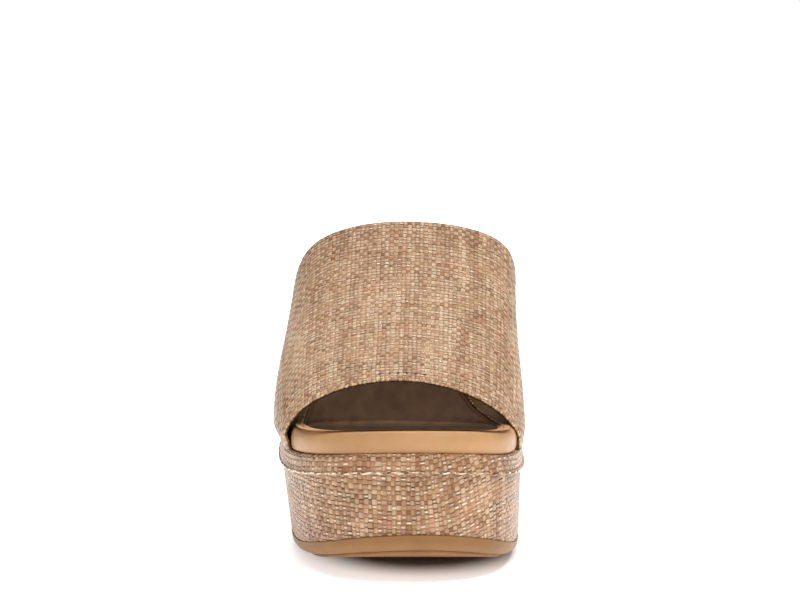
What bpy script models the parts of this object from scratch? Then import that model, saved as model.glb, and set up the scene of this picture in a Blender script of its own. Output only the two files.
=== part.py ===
"""Platform slide sandal for the right foot, in metres.

The toe points along -Y, the big toe side is +X, up is +Z and the floor is z = 0. The origin is on the
floor, midway between toe and heel. "Along" is the distance from the toe tip towards the heel.
Each piece is its own closed solid: outsole, platform body, cuff, footbed, sock panel and upper.
"""
import math

import bmesh
import bpy
import numpy as np

# Sole outline
SOLE_LENGTH = 0.254
BALL_WIDTH = 0.0915
TOE_TIP_SHIFT = 0.0085
HEEL_TIP_SHIFT = -0.0005

# Heights above the floor and the lines of the side view
OUTSOLE_THICKNESS = 0.0058
OUTSOLE_TOE_THINNING = 0.0003
FOREFOOT_HEIGHT = 0.0410
HEEL_RISE = 0.024
SOLE_TOE_LIFT = 0.0150
TOP_TOE_LIFT = 0.0085
TOE_LIFT_REACH = 0.098
HEEL_LIFT = 0.0015
HEEL_LIFT_REACH = 0.016
RISE_START = 0.078
RISE_END = 0.226

# Platform wall
TAPER_MEDIAL = 0.0010
TAPER_LATERAL = 0.0037
WRAP_INSET = 0.0002
PIECE_GAP = 0.0003

# Outsole edge and tread
SOLE_EDGE_RADIUS = 0.0056
TREAD_STEP_HEIGHT = 0.0010
TREAD_STEP_WIDTH = 0.0009
GROOVE_WIDTH = 0.0024
GROOVE_DEPTH = 0.0014
GROOVE_PITCH = 0.0084
GROOVE_MARGIN = 0.0135
FOREFOOT_TREAD = (0.068, 0.120)
HEEL_TREAD = (0.186, 0.238)

# Cuff: the strip sewn round the platform's top edge
CUFF_HEIGHT = 0.0072
CUFF_THICKNESS = 0.0022
CUFF_PROUD = 0.0007

# Footbed
FOOTBED_THICKNESS = 0.0088
FOOTBED_INSET = 0.0018
FOOTBED_ROLL = 0.0052
ARCH_RAISE = 0.0030
ARCH_PLACE = 0.150
ARCH_REACH = 0.045
HEEL_CUP_DEPTH = 0.0030
HEEL_CUP_START = 0.150
HEEL_CUP_BLEND = 0.050
HEEL_CUP_HALF_WIDTH = 0.037
SOCK_THICKNESS = 0.0008
SOCK_SINK = 0.0003
SOCK_FRONT = 0.0085
SOCK_BACK = 0.0120
SOCK_PILLOW = 0.0004
SOCK_LIP = 0.0012

# Upper: one wide band over the foot
UPPER_WALL = 0.0016
UPPER_FOOT_GAP = 0.0004
UPPER_FRONT_TOP = 0.054
UPPER_FRONT_SIDE = 0.043
UPPER_BACK_TOP = 0.126
UPPER_BACK_SIDE = 0.140
UPPER_FRONT_HEIGHT = 0.0248
UPPER_BACK_HEIGHT = 0.0668
UPPER_CROWN = 0.0015
BULGE_MEDIAL = 0.0010
BULGE_LATERAL = 0.0024
UPPER_BULGE_RISE = 0.0065
UPPER_BASE_OFFSET = 0.0006
RIDGE_SHIFT_FRONT = -0.0010
RIDGE_SHIFT_BACK = 0.0010
SHOULDER_MEDIAL = 0.0447
SHOULDER_LATERAL = 0.0404
CREST_ROUNDNESS = 1.9
FRONT_SQUARENESS = 2.1
BACK_SQUARENESS_MEDIAL = 9.5
BACK_SQUARENESS_LATERAL = 7.7

# Mesh density
RING_POINTS = 80
CAP_COLUMNS = 8
UPPER_STATIONS = 13
UPPER_COLUMNS = 48

# Half outlines of the sole. Columns: distance along as a share of SOLE_LENGTH, distance from the
# centre line as a share of half BALL_WIDTH. The big toe side comes first.
SOLE_MEDIAL = (
    (0.010, 0.46), (0.038, 0.715), (0.090, 0.880), (0.170, 0.965), (0.290, 1.000), (0.410, 0.972),
    (0.520, 0.925), (0.640, 0.860), (0.760, 0.800), (0.870, 0.700), (0.950, 0.500), (0.988, 0.270),
)
SOLE_LATERAL = (
    (0.010, 0.19), (0.040, 0.53), (0.085, 0.735), (0.150, 0.880), (0.240, 0.968), (0.350, 1.000),
    (0.480, 0.968), (0.600, 0.905), (0.740, 0.830), (0.870, 0.705), (0.950, 0.505), (0.988, 0.280),
)
# Half outlines of the sock panel, with the same columns; it draws in under the arch.
SOCK_MEDIAL = (
    (0.045, 0.44), (0.068, 0.650), (0.110, 0.770), (0.180, 0.790), (0.260, 0.700), (0.340, 0.600),
    (0.460, 0.470), (0.570, 0.430), (0.680, 0.470), (0.790, 0.540), (0.870, 0.500), (0.935, 0.290),
)
SOCK_LATERAL = (
    (0.045, 0.20), (0.072, 0.500), (0.120, 0.690), (0.180, 0.760), (0.260, 0.765), (0.340, 0.745),
    (0.460, 0.700), (0.570, 0.660), (0.680, 0.630), (0.790, 0.600), (0.870, 0.510), (0.935, 0.300),
)


def smooth_through(at, places, values):
    """Cubic curve through the points (places, values), with slopes taken from the neighbours."""
    slopes = np.gradient(values, places)
    span = np.clip(np.searchsorted(places, at) - 1, 0, len(places) - 2)
    width = places[span + 1] - places[span]
    t = (at - places[span]) / width
    rise = values[span + 1] - values[span]
    start, end = slopes[span] * width, slopes[span + 1] * width
    return values[span] + t * (start + t * ((3 * rise - 2 * start - end) + t * (start + end - 2 * rise)))


def ease(t):
    """0 to 1 with level ends."""
    t = np.clip(t, 0.0, 1.0)
    return t * t * (3 - 2 * t)


def half_outline(rows, side, along, front, back):
    """x of one half outline at the given distances along, from its table of shares.

    The curve runs in the angle whose cosine is the place along, so both tips come out round.
    """
    table = np.array(rows)
    start, length = front, back - front
    places = np.arccos(np.clip(1 - 2 * (table[:, 0] * SOLE_LENGTH - start) / length, -1, 1))
    places = np.concatenate([[0.0], places, [math.pi]])
    values = side * table[:, 1] * BALL_WIDTH / 2
    values = np.concatenate([[TOE_TIP_SHIFT], values, [HEEL_TIP_SHIFT]])
    angle = np.arccos(np.clip(1 - 2 * (along - start) / length, -1, 1))
    return smooth_through(angle, places, values)


def outline(medial, lateral, front=0.0, back=SOLE_LENGTH):
    """Closed plan outline as (x, along), from the toe tip down the big toe side and back up the other."""
    half = RING_POINTS // 2
    along = front + (back - front) * (1 - np.cos(np.linspace(0, math.pi, half + 1))) / 2
    inner = np.column_stack([half_outline(medial, 1, along, front, back), along])
    outer = np.column_stack([half_outline(lateral, -1, along, front, back), along])
    return np.vstack([inner, outer[-2:0:-1]])


def outward(points):
    """Unit normals of a closed plan outline, pointing out."""
    run = np.roll(points, -1, axis=0) - np.roll(points, 1, axis=0)
    normal = np.column_stack([run[:, 1], -run[:, 0]])
    return normal / np.linalg.norm(normal, axis=1)[:, None]


SOLE = outline(SOLE_MEDIAL, SOLE_LATERAL)
SOLE_NORMAL = outward(SOLE)
SOCK = outline(SOCK_MEDIAL, SOCK_LATERAL, SOCK_FRONT, SOLE_LENGTH - SOCK_BACK)
SOCK_NORMAL = outward(SOCK)


def toe_lift(along, lift):
    return lift * np.clip(1 - along / TOE_LIFT_REACH, 0, 1) ** 3


def floor_line(along):
    """Underside of the outsole: flat, with toe spring and a small lift at the heel's back edge."""
    heel = np.clip(1 - (SOLE_LENGTH - along) / HEEL_LIFT_REACH, 0, 1) ** 2
    return toe_lift(along, SOLE_TOE_LIFT) + HEEL_LIFT * heel


def outsole_top(along):
    thinning = OUTSOLE_TOE_THINNING * np.clip(1 - along / TOE_LIFT_REACH, 0, 1)
    return floor_line(along) + OUTSOLE_THICKNESS - thinning


def platform_top(along):
    """Top of the platform: level under the forefoot, then rising as a wedge to the heel."""
    rise = HEEL_RISE * ease((along - RISE_START) / (RISE_END - RISE_START))
    return FOREFOOT_HEIGHT + toe_lift(along, TOP_TOE_LIFT) + rise


def footbed_depth(x, along):
    """Thickness of the footbed's border, which is raised as a support under the arch."""
    arch = np.exp(-((along - ARCH_PLACE) / ARCH_REACH) ** 2)
    inward = ease(x / (BALL_WIDTH / 2))
    return FOOTBED_THICKNESS + ARCH_RAISE * arch * inward


def footbed_top(x, along):
    """Upper face of the footbed, with a shallow cup under the heel."""
    start = ease((along - HEEL_CUP_START) / HEEL_CUP_BLEND)
    across = np.clip(np.abs(x) / HEEL_CUP_HALF_WIDTH, 0, 1)
    cup = HEEL_CUP_DEPTH * start * (1 - across ** 2)
    return platform_top(along) + PIECE_GAP + footbed_depth(x, along) - cup


def sock_floor(x, along):
    return footbed_top(x, along) - SOCK_SINK - SOCK_THICKNESS


def taper(share):
    """Inset of the platform wall at a share of the way down, more on the little toe side."""
    middle = (TAPER_MEDIAL + TAPER_LATERAL) / 2
    lean = (TAPER_MEDIAL - TAPER_LATERAL) / 2
    return share * (middle + lean * SOLE_NORMAL[:, 0])


def ring(base, normal, offset, height):
    """One ring of points: the outline moved out by offset, at the height that height(x, along) gives."""
    plan = base + normal * np.reshape(offset, (-1, 1))
    return np.column_stack([plan[:, 0], plan[:, 1] - SOLE_LENGTH / 2, height(plan[:, 0], plan[:, 1])])


def sole_ring(offset, height):
    return ring(SOLE, SOLE_NORMAL, offset, height)


def mesh_object(name, points, faces, material):
    mesh = bpy.data.meshes.new(name)
    mesh.from_pydata(np.asarray(points).tolist(), [], faces)
    mesh.update()
    work = bmesh.new()
    work.from_mesh(mesh)
    bmesh.ops.recalc_face_normals(work, faces=work.faces)
    work.to_mesh(mesh)
    work.free()
    mesh.shade_smooth()
    mesh.set_sharp_from_angle(angle=math.radians(40))
    mesh.materials.append(material)
    made = bpy.data.objects.new(name, mesh)
    PARTS.objects.link(made)
    return made


def wall_faces(levels, count, closed_profile):
    """Quads between successive rings of count points each."""
    steps = levels if closed_profile else levels - 1
    faces = []
    for level in range(steps):
        low, high = level * count, ((level + 1) % levels) * count
        for i in range(count):
            j = (i + 1) % count
            faces.append((low + i, low + j, high + j, high + i))
    return faces


def add_cap(points, faces, first, rows, height):
    """Closes a ring with rows of quads across it; each row joins two points that face each other."""
    half = rows // 2
    grid = [[first] * (CAP_COLUMNS + 1)]
    for i in range(1, half):
        near, far = points[first + i], points[first + rows - i]
        row = [first + i]
        for c in range(1, CAP_COLUMNS):
            x, y = near[:2] + (far[:2] - near[:2]) * c / CAP_COLUMNS
            row.append(len(points))
            points.append(np.array([x, y, height(x, y + SOLE_LENGTH / 2)]))
        grid.append(row + [first + rows - i])
    grid.append([first + half] * (CAP_COLUMNS + 1))
    for upper, lower in zip(grid, grid[1:]):
        for c in range(CAP_COLUMNS):
            corners = list(dict.fromkeys((upper[c], upper[c + 1], lower[c + 1], lower[c])))
            faces.append(tuple(corners))


def stacked_solid(name, rings, bottom, top, material):
    """Solid from rings, bottom to top, closed by a cap that follows a height function at each end."""
    points = [point for level in rings for point in level]
    faces = wall_faces(len(rings), RING_POINTS, closed_profile=False)
    add_cap(points, faces, 0, RING_POINTS, bottom)
    add_cap(points, faces, (len(rings) - 1) * RING_POINTS, RING_POINTS, top)
    return mesh_object(name, points, faces, material)


def make_material(name, colour, roughness):
    """Principled material from sRGB colour values."""
    linear = [((c / 255 + 0.055) / 1.055) ** 2.4 for c in colour]
    material = bpy.data.materials.new(name)
    material.use_nodes = True
    shader = material.node_tree.nodes["Principled BSDF"]
    shader.inputs["Base Color"].default_value = (*linear, 1)
    shader.inputs["Roughness"].default_value = roughness
    shader.inputs["Metallic"].default_value = 0.0
    return material


def make_outsole(material):
    """Moulded sole: a flat tread plate that steps out to a rounded edge, grooved under ball and heel."""
    def at(share):
        """Height at a share of the way up the outsole's edge."""
        return lambda x, along: floor_line(along) + share * (outsole_top(along) - floor_line(along))

    def step(x, along):
        return floor_line(along) + TREAD_STEP_HEIGHT

    full = taper(1.0) + WRAP_INSET
    plate = full + SOLE_EDGE_RADIUS
    rings = [sole_ring(-plate, at(0.0)), sole_ring(-plate, step), sole_ring(-plate + TREAD_STEP_WIDTH, step)]
    start = TREAD_STEP_HEIGHT / OUTSOLE_THICKNESS
    for degrees in (30, 55, 78):
        turn = math.radians(degrees)
        out = (SOLE_EDGE_RADIUS - TREAD_STEP_WIDTH) * math.sin(turn)
        up = start + (1 - start) * 0.74 * (1 - math.cos(turn))
        rings.append(sole_ring(-plate + TREAD_STEP_WIDTH + out, at(up)))
    rings.append(sole_ring(-full, at(1.0)))
    sole = stacked_solid("outsole", rings, at(0.0), at(1.0), material)
    cut = sole.modifiers.new("tread", "BOOLEAN")
    cut.operation = "DIFFERENCE"
    cut.object = groove_cutter()
    return sole


def groove_cutter():
    """Straight bars across the tread, one for each groove, as wide as the sole allows there."""
    work = bmesh.new()
    for start, end in (FOREFOOT_TREAD, HEEL_TREAD):
        for k in range(int((end - start) / GROOVE_PITCH) + 1):
            along = start + k * GROOVE_PITCH
            right = half_outline(SOLE_MEDIAL, 1, along, 0.0, SOLE_LENGTH) - GROOVE_MARGIN
            left = half_outline(SOLE_LATERAL, -1, along, 0.0, SOLE_LENGTH) + GROOVE_MARGIN
            made = bmesh.ops.create_cube(work, size=1.0)["verts"]
            bmesh.ops.scale(work, vec=(right - left, GROOVE_WIDTH, 2 * GROOVE_DEPTH), verts=made)
            level = float(floor_line(along))
            bmesh.ops.translate(
                work, vec=((right + left) / 2, along - SOLE_LENGTH / 2, level), verts=made
            )
    mesh = bpy.data.meshes.new("tread_grooves")
    work.to_mesh(mesh)
    work.free()
    cutter = bpy.data.objects.new("tread_grooves", mesh)
    cutter.hide_render = True
    cutter.display_type = "WIRE"
    CUTTERS.objects.link(cutter)
    return cutter


def make_platform(material):
    """Wrapped wedge: a slightly tapering wall, with a rebate round its top that carries the cuff."""
    def base(x, along):
        return outsole_top(along) + PIECE_GAP

    def top(x, along):
        return platform_top(along)

    def rebate(x, along):
        return platform_top(along) - CUFF_HEIGHT - PIECE_GAP

    def between(share):
        return lambda x, along: base(x, along) + share * (rebate(x, along) - base(x, along))

    behind = CUFF_THICKNESS + PIECE_GAP
    rings = [sole_ring(-taper(1.0 - share) - WRAP_INSET, between(share)) for share in (0.0, 0.35, 0.7, 1.0)]
    rings.append(sole_ring(-behind, rebate))
    rings.append(sole_ring(-behind, top))
    return stacked_solid("platform", rings, base, top, material)


def make_cuff(material):
    """Strip of the wrap fabric sewn round the platform's top edge; its lower edge stands proud."""
    def below_top(drop):
        return lambda x, along: platform_top(along) - drop

    profile = (
        (-CUFF_THICKNESS, CUFF_HEIGHT), (CUFF_PROUD, CUFF_HEIGHT), (CUFF_PROUD, 0.86 * CUFF_HEIGHT),
        (0.15 * CUFF_PROUD, 0.45 * CUFF_HEIGHT), (-0.05 * CUFF_THICKNESS, 0.16 * CUFF_HEIGHT),
        (-0.30 * CUFF_THICKNESS, 0.03 * CUFF_HEIGHT), (-0.60 * CUFF_THICKNESS, 0.0),
        (-CUFF_THICKNESS, 0.0),
    )
    rings = [sole_ring(offset, below_top(drop)) for offset, drop in profile]
    points = np.vstack(rings)
    return mesh_object("cuff", points, wall_faces(len(rings), RING_POINTS, closed_profile=True), material)


def make_footbed(material):
    """Padded footbed with a rolled edge, and a pocket in its top that takes the sock panel."""
    def level(share):
        return lambda x, along: platform_top(along) + PIECE_GAP + share * footbed_depth(x, along)

    def lip(x, along):
        return footbed_top(x, along) - SOCK_SINK

    def pocket(x, along):
        return sock_floor(x, along) - PIECE_GAP

    profile = ((0.16, 0.0), (0.04, 0.08), (0.0, 0.22), (0.0, 0.50), (0.10, 0.74), (0.42, 0.93))
    rings = [sole_ring(-FOOTBED_INSET - inset * FOOTBED_ROLL, level(share)) for inset, share in profile]
    rings.append(sole_ring(-FOOTBED_INSET - FOOTBED_ROLL, footbed_top))
    rings.append(ring(SOCK, SOCK_NORMAL, PIECE_GAP + SOCK_LIP, footbed_top))
    rings.append(ring(SOCK, SOCK_NORMAL, PIECE_GAP, lip))
    rings.append(ring(SOCK, SOCK_NORMAL, PIECE_GAP, pocket))
    return stacked_solid("footbed", rings, level(0.0), pocket, material)


def make_sock(material):
    """Soft panel let into the footbed, a little pillowed, with its edge sewn down."""
    def raised(share, pillow=0.0):
        return lambda x, along: sock_floor(x, along) + share * SOCK_THICKNESS + pillow

    rings = [
        ring(SOCK, SOCK_NORMAL, 0.0, sock_floor),
        ring(SOCK, SOCK_NORMAL, 0.0, raised(0.55)),
        ring(SOCK, SOCK_NORMAL, -0.4 * SOCK_THICKNESS, raised(0.9)),
        ring(SOCK, SOCK_NORMAL, -1.3 * SOCK_THICKNESS, raised(1.0, SOCK_PILLOW)),
    ]
    return stacked_solid("sock_panel", rings, sock_floor, raised(1.0, SOCK_PILLOW), material)


def band_row(share, places):
    """One row of the band's outer face, from its big toe side foot to the other, at share of its length.

    The row is a superellipse standing on the two sides of the sole. It gets squarer towards the
    instep and swells out just above the sole. places gives each point's share of the row's length.
    """
    def between(front, back):
        return front + (back - front) * share

    turn = math.pi * ease(np.linspace(0, 1, 3001))
    medial_side = np.cos(turn) > 0
    square = np.where(medial_side, between(FRONT_SQUARENESS, BACK_SQUARENESS_MEDIAL),
                      between(FRONT_SQUARENESS, BACK_SQUARENESS_LATERAL))
    across = np.sign(np.cos(turn)) * np.abs(np.cos(turn)) ** (2 / CREST_ROUNDNESS)
    climb = np.abs(np.sin(turn)) ** (2 / square)

    side = between(UPPER_FRONT_SIDE, UPPER_BACK_SIDE)
    along = side + (between(UPPER_FRONT_TOP, UPPER_BACK_TOP) - side) * climb ** 1.3
    height = between(UPPER_FRONT_HEIGHT, UPPER_BACK_HEIGHT) + UPPER_CROWN * math.sin(math.pi * share)
    up = height * climb

    medial = half_outline(SOLE_MEDIAL, 1, side, 0.0, SOLE_LENGTH) + UPPER_BASE_OFFSET
    lateral = half_outline(SOLE_LATERAL, -1, side, 0.0, SOLE_LENGTH) - UPPER_BASE_OFFSET
    ridge = between(RIDGE_SHIFT_FRONT, RIDGE_SHIFT_BACK)
    middle = (medial + lateral) / 2 + (ridge - (medial + lateral) / 2) * ease(climb)
    foot = (medial - lateral) / 2
    shoulder = np.where(medial_side, SHOULDER_MEDIAL, SHOULDER_LATERAL)
    half = foot + (shoulder - foot) * ease(1.25 * up / UPPER_BACK_HEIGHT) * share
    swell = np.where(medial_side, BULGE_MEDIAL, BULGE_LATERAL) * ease(up / UPPER_BULGE_RISE)
    x = middle + (half + swell) * across
    row = np.column_stack([x, along - SOLE_LENGTH / 2, platform_top(side) + UPPER_FOOT_GAP + up])
    run = np.concatenate([[0.0], np.cumsum(np.linalg.norm(np.diff(row, axis=0), axis=1))])
    return np.column_stack([np.interp(places * run[-1], run, row[:, k]) for k in range(3)])


def upper_surface():
    """Outer face of the band as a grid of rows from toe opening to instep, finer near the sole."""
    even = np.linspace(0, 1, UPPER_COLUMNS + 1)
    places = even - 0.45 * np.sin(2 * math.pi * even) / (2 * math.pi)
    return np.stack([band_row(share, places) for share in np.linspace(0, 1, UPPER_STATIONS)])


def make_upper(material):
    """One wide band over the foot, open at the toe, behind and underneath."""
    grid = upper_surface()
    rows, columns = grid.shape[:2]
    faces = [
        (r * columns + c, r * columns + c + 1, (r + 1) * columns + c + 1, (r + 1) * columns + c)
        for r in range(rows - 1)
        for c in range(columns - 1)
    ]
    band = mesh_object("upper", grid.reshape(-1, 3), faces, material)
    wall = band.modifiers.new("wall", "SOLIDIFY")
    wall.thickness = UPPER_WALL
    wall.offset = -1
    wall.use_even_offset = True
    return band


for old in list(bpy.data.objects):
    bpy.data.objects.remove(old)
PARTS = bpy.data.collections.new("platform_slide")
CUTTERS = bpy.data.collections.new("cutters")
bpy.context.scene.collection.children.link(PARTS)
bpy.context.scene.collection.children.link(CUTTERS)

RUBBER = make_material("tan_rubber", (176, 136, 98), 0.45)
WOVEN = make_material("woven_straw", (190, 155, 126), 0.55)
CUFF_CLOTH = make_material("woven_straw_cuff", (186, 151, 123), 0.55)
BAND_CLOTH = make_material("woven_straw_band", (192, 158, 131), 0.55)
TAN_LEATHER = make_material("tan_leather", (211, 167, 125), 0.42)
TAUPE_SUEDE = make_material("taupe_suede", (150, 122, 102), 0.9)

make_outsole(RUBBER)
make_platform(WOVEN)
make_cuff(CUFF_CLOTH)
make_footbed(TAN_LEATHER)
make_sock(TAUPE_SUEDE)
make_upper(BAND_CLOTH)
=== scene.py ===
"""Looks of the platform slide: each piece as a mesh worked out in numpy, with its material.

Metres, +Z up, toe at -Y. "Along" is the distance from the toe tip, "x" is to the big toe side.
"""

import math

import bmesh
import bpy
import numpy as np
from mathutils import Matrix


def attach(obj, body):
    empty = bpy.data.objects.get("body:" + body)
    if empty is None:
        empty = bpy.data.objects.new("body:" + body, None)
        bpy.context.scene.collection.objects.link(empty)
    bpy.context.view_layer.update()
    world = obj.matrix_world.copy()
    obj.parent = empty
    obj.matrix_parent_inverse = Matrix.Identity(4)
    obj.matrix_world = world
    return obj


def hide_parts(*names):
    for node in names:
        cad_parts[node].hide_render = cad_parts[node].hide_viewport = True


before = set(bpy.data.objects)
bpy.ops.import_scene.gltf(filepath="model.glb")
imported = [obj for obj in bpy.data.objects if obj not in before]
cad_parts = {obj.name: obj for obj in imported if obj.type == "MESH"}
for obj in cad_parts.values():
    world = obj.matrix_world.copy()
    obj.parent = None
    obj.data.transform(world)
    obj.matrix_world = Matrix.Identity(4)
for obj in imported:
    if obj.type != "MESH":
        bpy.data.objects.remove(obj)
for left_over in ("Cube", "Camera", "Light"):
    if left_over in bpy.data.objects:
        bpy.data.objects.remove(bpy.data.objects[left_over])
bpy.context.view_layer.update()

# Outsole: moulded tan rubber, cemented under the platform. Its edge is rounded and tucks in under
# the cover, a thin flat tread plate steps out below it, and grooves cross the tread under ball and heel.
SOLE_LENGTH = 0.254
HALF_BALL_WIDTH = 0.0915 / 2
SOLE_MEDIAL = (
    (0.010, 0.46), (0.038, 0.715), (0.090, 0.880), (0.170, 0.965), (0.290, 1.000), (0.410, 0.972),
    (0.520, 0.925), (0.640, 0.860), (0.760, 0.800), (0.870, 0.700), (0.950, 0.500), (0.988, 0.270),
)
SOLE_LATERAL = (
    (0.010, 0.19), (0.040, 0.53), (0.085, 0.735), (0.150, 0.880), (0.240, 0.968), (0.350, 1.000),
    (0.480, 0.968), (0.600, 0.905), (0.740, 0.830), (0.870, 0.705), (0.950, 0.505), (0.988, 0.280),
)
TOE_TIP_X, HEEL_TIP_X = 0.0085, -0.0005
TOE_LIFT_REACH = 0.098
OUTSOLE_EDGE = 0.0056
OUTSOLE_TUCK = 0.0002
GROOVE_WIDTH, GROOVE_DEPTH, GROOVE_MARGIN = 0.0024, 0.0014, 0.0135
WELD = 2e-6
GROOVE_STARTS = np.concatenate([0.068 + 0.0084 * np.arange(7), 0.186 + 0.0084 * np.arange(7)])


def ease(t):
    """3 t^2 - 2 t^3 with t held to 0..1: 0 to 1 with level ends."""
    t = np.clip(t, 0.0, 1.0)
    return t * t * (3 - 2 * t)


def smooth_through(at, places, values):
    """Cubic through (places, values), each slope the mean of the two neighbouring ones."""
    slopes = np.gradient(values, places)
    span = np.clip(np.searchsorted(places, at) - 1, 0, len(places) - 2)
    width = places[span + 1] - places[span]
    t = (at - places[span]) / width
    rise = values[span + 1] - values[span]
    start, end = slopes[span] * width, slopes[span + 1] * width
    return values[span] + t * (start + t * ((3 * rise - 2 * start - end) + t * (start + end - 2 * rise)))


def half_outline(rows, side, along, front=0.0, back=SOLE_LENGTH):
    """x of one side of a sole outline: a smooth curve in the angle whose cosine is the place along."""
    table = np.array(rows)
    places = np.arccos(np.clip(1 - 2 * (table[:, 0] * SOLE_LENGTH - front) / (back - front), -1, 1))
    places = np.concatenate([[0.0], places, [math.pi]])
    values = np.concatenate([[TOE_TIP_X], side * table[:, 1] * HALF_BALL_WIDTH, [HEEL_TIP_X]])
    return smooth_through(np.arccos(np.clip(1 - 2 * (along - front) / (back - front), -1, 1)), places, values)


def plan_ring(along, medial=SOLE_MEDIAL, lateral=SOLE_LATERAL, front=0.0, back=SOLE_LENGTH):
    """Closed outline (x, along) through the given places: toe tip, big toe side, heel tip and back."""
    inner = np.column_stack([half_outline(medial, 1, along, front, back), along])
    outer = np.column_stack([half_outline(lateral, -1, along, front, back), along])
    return np.vstack([inner, outer[-2:0:-1]])


def outward(ring):
    """Unit normals of a closed plan outline: its direction turned a quarter turn outwards."""
    run = np.roll(ring, -1, axis=0) - np.roll(ring, 1, axis=0)
    normal = np.column_stack([run[:, 1], -run[:, 0]])
    return normal / np.linalg.norm(normal, axis=1)[:, None]


def toe_lift(along, lift):
    """Toe spring: a cube of what is left to the end of its reach."""
    return lift * np.clip(1 - along / TOE_LIFT_REACH, 0, 1) ** 3


def floor_line(along):
    """Underside of the outsole: flat, sprung at the toe, lifted a little at the back of the heel."""
    return toe_lift(along, 0.0150) + 0.0015 * np.clip(1 - (SOLE_LENGTH - along) / 0.016, 0, 1) ** 2


def outsole_top(along):
    """Top of the outsole: 5.8 mm over its underside, and 0.3 mm less at the toe tip."""
    return floor_line(along) + 0.0058 - 0.0003 * np.clip(1 - along / TOE_LIFT_REACH, 0, 1)


def wall_inset(share, normal):
    """How far the platform's wall has drawn in at a share of the way down: 1 mm inside, 3.7 mm outside."""
    return share * (0.00235 - 0.00135 * normal[..., 0])


def lift_ring(ring, normal, offset, height):
    """3-D points of a plan outline moved out by offset, at height(x, along)."""
    plan = ring + normal * np.reshape(offset, (-1, 1))
    return np.column_stack([plan[:, 0], plan[:, 1] - SOLE_LENGTH / 2, height(plan[:, 0], plan[:, 1])])


def closed_rows(rows):
    """Rings stacked as a lattice, each with its first point again at its end."""
    stack = np.stack(rows)
    return np.concatenate([stack, stack[:, :1]], axis=1)


def cap_rows(ring3d, columns, height):
    """Lattice that closes a ring: straight rows from each point to the one across, at height(x, along)."""
    half = len(ring3d) // 2
    near, far = ring3d[:half + 1], np.roll(ring3d[::-1], 1, axis=0)[:half + 1]
    share = np.linspace(0, 1, columns + 1)[None, :, None]
    points = near[:, None] * (1 - share) + far[:, None] * share
    inner = points[:, 1:-1]
    inner[..., 2] = height(inner[..., 0], inner[..., 1] + SOLE_LENGTH / 2)
    return points


def make_piece(name, lattices, material, sharp=None):
    """Mesh object from lattices of points, each (points, strand places or None).

    Every lattice cell becomes two triangles. Points that coincide to 2 micrometres are welded, and the
    triangles that this collapses are dropped, so seams and poles close. The strand places go to a UV map.
    Last, the welded faces are all turned to point outwards.
    """
    points, places, triangles, count = [], [], [], 0
    for lattice, strands in lattices:
        rows, columns = lattice.shape[:2]
        corner = np.arange(rows * columns).reshape(rows, columns) + count
        a, b, c, d = corner[:-1, :-1], corner[:-1, 1:], corner[1:, 1:], corner[1:, :-1]
        triangles += [np.stack([a, b, c], -1).reshape(-1, 3), np.stack([a, c, d], -1).reshape(-1, 3)]
        points.append(lattice.reshape(-1, 3))
        places.append(np.zeros((rows * columns, 2)) if strands is None else strands.reshape(-1, 2))
        count += rows * columns
    points, places, triangles = np.concatenate(points), np.concatenate(places), np.concatenate(triangles)
    snapped = np.round(points / WELD).astype(np.int64)
    _, first, same = np.unique(snapped, axis=0, return_index=True, return_inverse=True)
    welded = same.reshape(-1)[triangles]
    kept = (welded[:, 0] != welded[:, 1]) & (welded[:, 1] != welded[:, 2]) & (welded[:, 0] != welded[:, 2])
    welded, triangles = welded[kept], triangles[kept]

    mesh = bpy.data.meshes.new(name)
    mesh.vertices.add(len(first))
    mesh.vertices.foreach_set("co", points[first].astype(np.float32).ravel())
    mesh.loops.add(welded.size)
    mesh.loops.foreach_set("vertex_index", welded.astype(np.int32).ravel())
    mesh.polygons.add(len(welded))
    mesh.polygons.foreach_set("loop_start", np.arange(0, welded.size, 3, dtype=np.int32))
    mesh.update(calc_edges=True)
    strands = mesh.uv_layers.new(name="strands")
    strands.uv.foreach_set("vector", places[triangles].astype(np.float32).ravel())
    mesh.validate()
    shell = bmesh.new()
    shell.from_mesh(mesh)
    bmesh.ops.recalc_face_normals(shell, faces=shell.faces)
    shell.to_mesh(mesh)
    shell.free()
    mesh.shade_smooth()
    if sharp:
        mesh.set_sharp_from_angle(angle=math.radians(sharp))
    mesh.materials.append(material)
    piece = bpy.data.objects.new(name, mesh)
    bpy.context.scene.collection.objects.link(piece)
    return piece


def new_material(name, colour, roughness, **settings):
    """Principled material. Returns it with its node tree and shader; colour is sRGB 0 to 255."""
    material = bpy.data.materials.new(name)
    material.use_nodes = True
    shader = material.node_tree.nodes["Principled BSDF"]
    shader.inputs["Base Color"].default_value = (*linear(colour), 1)
    shader.inputs["Roughness"].default_value = roughness
    for socket, value in settings.items():
        shader.inputs[socket.replace("_", " ")].default_value = value
    return material, material.node_tree, shader


def linear(colour):
    """sRGB values of 0 to 255 as linear ones of 0 to 1."""
    return [((c / 255 + 0.055) / 1.055) ** 2.4 if c > 10 else c / 255 / 12.92 for c in colour]


def add(tree, kind, values=(), **settings):
    """New node with its settings, and each value put on, or linked to, the input of that name or place."""
    node = tree.nodes.new("ShaderNode" + kind)
    for key, value in settings.items():
        setattr(node, key, value)
    for key, value in dict(values).items():
        if isinstance(value, bpy.types.NodeSocket):
            tree.links.new(value, node.inputs[key])
        else:
            node.inputs[key].default_value = value
    return node


def calc(tree, operation, *values):
    """Output of a Math node on numbers or sockets."""
    return add(tree, "Math", enumerate(values), operation=operation).outputs[0]


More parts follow.
